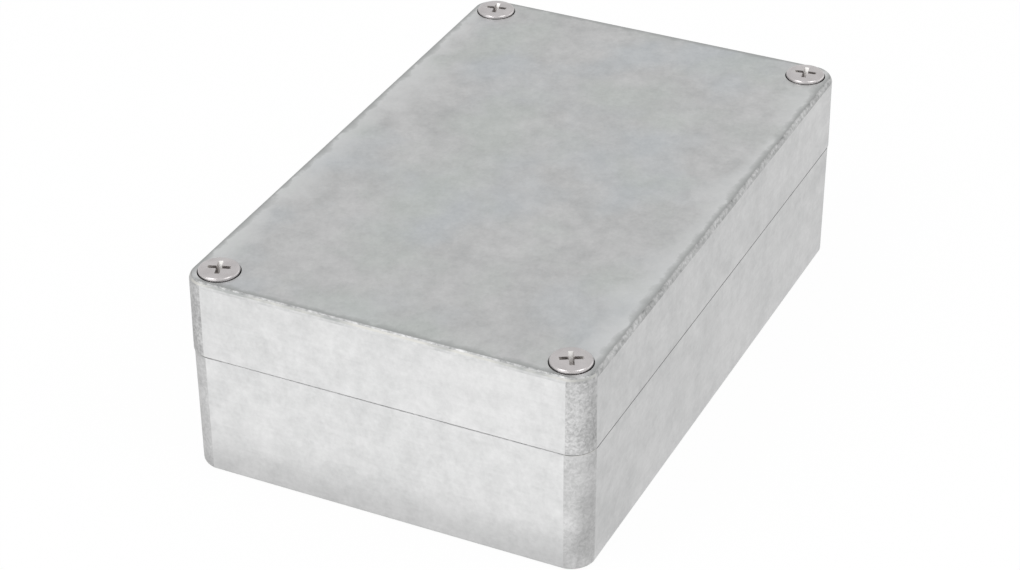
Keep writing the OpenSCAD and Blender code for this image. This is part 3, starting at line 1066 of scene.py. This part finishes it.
def make_lid():
    """The upper casting."""
    scene = bpy.context.scene
    sizes, holes, seal = scene.casting_sizes, scene.hole_sizes, scene.seal_sizes
    low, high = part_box("lid")
    half = Vector(high.xy - low.xy) / 2
    seam = low.z
    inner, bored = finish(plain_cast_skin), finish(machined_aluminium)
    finishes = [finish(f) for f in (
        linished_aluminium, lid_cast_skin, edge_cast_skin, burnished_edge, seam_grime, plain_cast_skin,
    )]
    flat, skin, edge, burnished, grime, plain = range(len(finishes))

    def ring(inset, height):
        lean = (height - seam) * math.tan(sizes.lid_draft)
        return box_ring(half, lean + inset, sizes.lid_corner - lean - inset, sizes.ground_off, height)

    levels = [(sizes.relief_width + sizes.relief, seam), (sizes.relief_width, seam + sizes.relief)]
    for turn in quarter_turns(RIM_STEPS):
        rise = sizes.relief + sizes.rim_round * (1 - math.cos(turn))
        levels.append((sizes.rim_round * (1 - math.sin(turn)), seam + rise))
    wall_row = len(levels) - 1

    # The top edge is part of an arc, stretched to its reach and drop, and meets both faces in a crease
    reach_in = sizes.lid_edge_in / (math.cos(EDGE_START) - math.cos(EDGE_END))
    reach_up = sizes.lid_edge_drop / (math.sin(EDGE_END) - math.sin(EDGE_START))
    foot = high.z - sizes.lid_edge_drop
    for step in range(EDGE_STEPS + 1):
        turn = EDGE_START + (EDGE_END - EDGE_START) * step / EDGE_STEPS
        inset = reach_in * (math.cos(EDGE_START) - math.cos(turn))
        levels.append((inset, foot + reach_up * (math.sin(turn) - math.sin(EDGE_START))))

    # Below the wall comes the rim, in painted seam shade. Above the wall comes the top edge, in three bands
    def region(row, column):
        place = box_face(column)
        if row < wall_row:
            # At the ends the rim's rounding takes the edge skin, a lighter painted seam shade
            return edge if place == "end" and row > 1 else grime
        if row == wall_row:
            return skin if place == "corner" else flat
        if place == "side":
            return edge
        third = (row - wall_row - 1) * 3 // EDGE_STEPS
        return (plain if place == "end" else skin, burnished, edge)[third]

    shape = bmesh.new()
    loft(shape, [ring(*level) for level in levels], region)
    lid = solid("lid_shell", shape, *finishes)

    groove_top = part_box("gasket")[1].z
    combine(lid, seal_band("groove", seal.groove_width, seam - CUT, groove_top, inner), "DIFFERENCE")

    screw_low, screw_high = screw_box("screw_left_front")
    bore = (screw_high.x - screw_low.x) / 2 + holes.counterbore_gap
    seat = high.z - holes.counterbore_depth
    clear, wide = holes.clearance_radius, holes.passage_radius
    drilled = 1  # number of the bored finish in the cutter's own list
    shape = bmesh.new()
    turned(shape, screw_places(), [
        (clear + holes.mouth + CUT, seam - CUT), (clear, seam + holes.mouth), (clear, seat), (bore, seat),
        (bore, high.z - holes.counterbore_bevel), (bore + holes.counterbore_bevel + CUT, high.z + CUT),
    ], drilled)
    turned(shape, pattern("wall_fixing_holes"), [
        (wide + holes.mouth + CUT, seam - CUT), (wide, seam + holes.mouth),
        (wide, seam + holes.relief_depth - holes.mouth), (wide - holes.mouth, seam + holes.relief_depth),
    ])
    pocket(shape, seam, -(high.z - sizes.floor - seam))
    combine(lid, solid("lid holes", shape, inner, bored), "DIFFERENCE")
    combine(lid, ejector_marks("lid marks", LID_MARKS, high.z - sizes.floor, inner), "DIFFERENCE")
    dress(smoothed(lid), "lid", "die_cast_aluminium", "lid")


def make_gasket():
    """The rubber ring in the lid's groove."""
    low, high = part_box("gasket")
    width = bpy.context.scene.seal_sizes.ring_width
    ring = seal_band("sealing_ring", width, low.z, high.z, finish(ring_rubber))
    dress(smoothed(ring), "lid", "seal_rubber", "gasket")


def make_lid_screws():
    """The four lid screws, each on its own body."""
    sizes = bpy.context.scene.screw_sizes
    holes = bpy.context.scene.hole_sizes
    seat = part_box("lid")[1].z - holes.counterbore_depth
    for body, turn in SCREWS.items():
        low, high = screw_box(body)
        radius = (high.x - low.x) / 2
        rim = high.z - sizes.crown - sizes.edge_round
        flat = radius - sizes.edge_round
        profile = [(0, seat), (radius, seat)]
        for lean in quarter_turns(HEAD_STEPS):
            inset = sizes.edge_round * (1 - math.cos(lean))
            profile.append((radius - inset, rim + sizes.edge_round * math.sin(lean)))
        profile += [(flat * share, high.z - sizes.crown * share ** 2) for share in (0.8, 0.6, 0.4, 0.2, 0)]
        mesh = bpy.data.meshes.new(body)
        points = [(r - LATHE, -z, 0) for r, z in profile]
        mesh.from_pydata(points, [(i, i + 1) for i in range(len(points) - 1)], [])
        made = with_nodes(
            linked("cross_" + body, mesh), tree_named("Lid screw"),
            Place=(*(low.xy + high.xy) / 2, 0), Turn=math.radians(turn), Head_top=high.z,
            Span=sizes.recess_span, Slot=sizes.recess_slot, Depth=sizes.recess_depth,
            Crest=sizes.thread_radius, Root=sizes.thread_root, Pitch=sizes.pitch,
            Bottom=low.z, Top=seat + 2 * holes.mouth, Point=SCREW_POINT, Rows=sizes.rows,
            Material=finish(screw_steel), Recess_material=finish(punched_recess),
        )
        dress(smoothed(made), body, "stainless_steel", "lid_" + body)


# ---------------------------------------------------------------- studio


def direction(turn, rise):
    """Unit vector away from the box, turned from straight in front and raised from the horizon."""
    return Vector((math.sin(turn) * math.cos(rise), -math.cos(turn) * math.cos(rise), math.sin(rise)))


def soft_box(name, power, width, height, turn, rise, distance, target):
    """Soft box that faces a target. Its turn starts at the camera's side, and goes to the camera's right."""
    light = bpy.data.lights.new(name, "AREA")
    light.shape = "RECTANGLE"
    light.size = width
    light.size_y = height
    light.energy = power
    made = linked(name, light)
    away = direction(bpy.context.scene.studio_settings.azimuth + turn, rise)
    place = Matrix.Translation(target + away * distance)
    made.matrix_world = place @ away.to_track_quat("Z", "Y").to_matrix().to_4x4()
    return made


def make_camera(middle):
    """Camera at its angle round the middle of the castings."""
    studio = bpy.context.scene.studio_settings
    turn, roll = studio.azimuth, studio.roll
    back = direction(turn, studio.elevation)
    level = Vector((math.cos(turn), math.sin(turn), 0))
    upright = back.cross(level)
    right = level * math.cos(roll) + upright * math.sin(roll)
    upward = upright * math.cos(roll) - level * math.sin(roll)
    place = middle + back * studio.distance - right * studio.slide_right - upward * studio.slide_up
    lens = bpy.data.cameras.new("camera")
    lens.lens = studio.lens
    lens.sensor_width = SENSOR_MM
    lens.clip_start = 10 * MM
    camera = linked("camera", lens)
    axes = Matrix((right, upward, back)).transposed().to_4x4()
    camera.matrix_world = Matrix.Translation(place) @ axes
    bpy.context.scene.camera = camera


def make_floor():
    """Pale floor that keeps a faint shadow of the box. Camera, metal and glass see it nearly white."""
    studio = bpy.context.scene.studio_settings
    made = bpy.data.materials.new("studio_floor")
    made.use_nodes = True
    tree = made.node_tree
    tree.nodes.clear()
    ray = add(tree, "ShaderNodeLightPath").outputs
    seen = ray["Is Camera Ray"]
    for kind in ("Is Glossy Ray", "Is Transmission Ray"):
        seen = add(tree, "ShaderNodeMath", {0: seen, 1: ray[kind]}, operation="MAXIMUM")
    paper = add(tree, "ShaderNodeBsdfDiffuse", {"Color": studio.floor})
    white = add(tree, "ShaderNodeEmission", {"Color": srgb("FFFFFF"), "Strength": 1.0})
    pale = add(tree, "ShaderNodeMixShader", {0: studio.floor_glow, 1: paper, 2: white})
    shown = add(tree, "ShaderNodeMixShader", {0: seen, 1: paper, 2: pale})
    add(tree, "ShaderNodeOutputMaterial", {"Surface": shown})
    shape = bmesh.new()
    bmesh.ops.create_grid(shape, x_segments=1, y_segments=1, size=FLOOR_REACH)
    mesh = bpy.data.meshes.new("floor")
    shape.to_mesh(mesh)
    shape.free()
    mesh.transform(Matrix.Translation((0, 0, -FLOOR_GAP)))
    mesh.materials.append(made)
    linked("floor", mesh)


def make_world():
    """Even, pale light from all round."""
    studio = bpy.context.scene.studio_settings
    world = bpy.data.worlds.new("studio")
    world.use_nodes = True
    tree = world.node_tree
    tree.nodes.clear()
    even = add(tree, "ShaderNodeBackground", {"Color": srgb("FFFFFF"), "Strength": studio.ambient})
    add(tree, "ShaderNodeOutputWorld", {"Surface": even})
    bpy.context.scene.world = world


def make_studio():
    """Floor, world, soft boxes and camera."""
    studio = bpy.context.scene.studio_settings
    bpy.context.scene.view_settings.view_transform = "Standard"
    middle = Vector((0, 0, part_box("lid")[1].z / 2))
    make_floor()
    make_world()
    for name, (width, height, turn, rise, distance) in SOFT_BOXES.items():
        power = getattr(studio, name + "_power")
        soft_box(name, power, width, height, math.radians(turn), math.radians(rise), distance, middle)

    # The panel lies on the floor, and faces a point above it
    along_x, along_y, from_end, across = PANEL
    above = Vector((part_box("base")[0].x - from_end, across, PANEL_AIM))
    height = above.z - PANEL_GAP
    panel = soft_box("panel", studio.panel_power, along_x, along_y, 0, -QUARTER, height, above)
    panel.visible_camera = False
    make_camera(middle)


# ---------------------------------------------------------------- operators


class CASTBOX_OT_tub(bpy.types.Operator):
    """Make the tub with its columns, tongue, bosses and holes"""

    bl_idname = "castbox.tub"
    bl_label = "Tub"

    def execute(self, context):
        make_tub()
        return {"FINISHED"}


class CASTBOX_OT_lid(bpy.types.Operator):
    """Make the lid with its groove, counterbores and reliefs"""

    bl_idname = "castbox.lid"
    bl_label = "Lid"

    def execute(self, context):
        make_lid()
        return {"FINISHED"}


class CASTBOX_OT_gasket(bpy.types.Operator):
    """Make the rubber ring in the lid's groove"""

    bl_idname = "castbox.gasket"
    bl_label = "Sealing ring"

    def execute(self, context):
        make_gasket()
        return {"FINISHED"}


class CASTBOX_OT_lid_screws(bpy.types.Operator):
    """Make the four lid screws"""

    bl_idname = "castbox.lid_screws"
    bl_label = "Lid screws"

    def execute(self, context):
        make_lid_screws()
        return {"FINISHED"}


class CASTBOX_OT_studio(bpy.types.Operator):
    """Make the floor, the lights and the camera"""

    bl_idname = "castbox.studio"
    bl_label = "Studio"

    def execute(self, context):
        make_studio()
        return {"FINISHED"}


GROUPS = {
    "casting_sizes": CastingSizes,
    "seal_sizes": SealSizes,
    "hole_sizes": HoleSizes,
    "screw_sizes": ScrewSizes,
    "finishes": Finishes,
    "studio_settings": StudioSettings,
}
OPERATORS = (
    CASTBOX_OT_tub, CASTBOX_OT_lid, CASTBOX_OT_gasket, CASTBOX_OT_lid_screws, CASTBOX_OT_studio,
)


class CASTBOX_PT_panel(bpy.types.Panel):
    """Sizes, finishes and makers of the cast box"""

    bl_idname = "CASTBOX_PT_panel"
    bl_label = "Cast box"
    bl_space_type = "VIEW_3D"
    bl_region_type = "UI"
    bl_category = "Cast Box"

    def draw(self, context):
        for operator in OPERATORS:
            self.layout.operator(operator.bl_idname)
        for group, kind in GROUPS.items():
            box = self.layout.box()
            box.label(text=kind.__doc__.rstrip("."))
            for setting in kind.__annotations__:
                box.prop(getattr(context.scene, group), setting)


def register():
    """Registers every class, and hangs the settings on the scene."""
    for group, kind in GROUPS.items():
        bpy.utils.register_class(kind)
        setattr(bpy.types.Scene, group, PointerProperty(type=kind))
    for operator in OPERATORS:
        bpy.utils.register_class(operator)
    bpy.utils.register_class(CASTBOX_PT_panel)


def unregister():
    """Undoes register."""
    bpy.utils.unregister_class(CASTBOX_PT_panel)
    for operator in reversed(OPERATORS):
        bpy.utils.unregister_class(operator)
    for group, kind in GROUPS.items():
        delattr(bpy.types.Scene, group)
        bpy.utils.unregister_class(kind)


def main():
    """Makes every piece and the studio."""
    register()
    bpy.ops.castbox.tub()
    bpy.ops.castbox.lid()
    bpy.ops.castbox.gasket()
    bpy.ops.castbox.lid_screws()
    bpy.ops.castbox.studio()


if __name__ == "__main__":
    main()
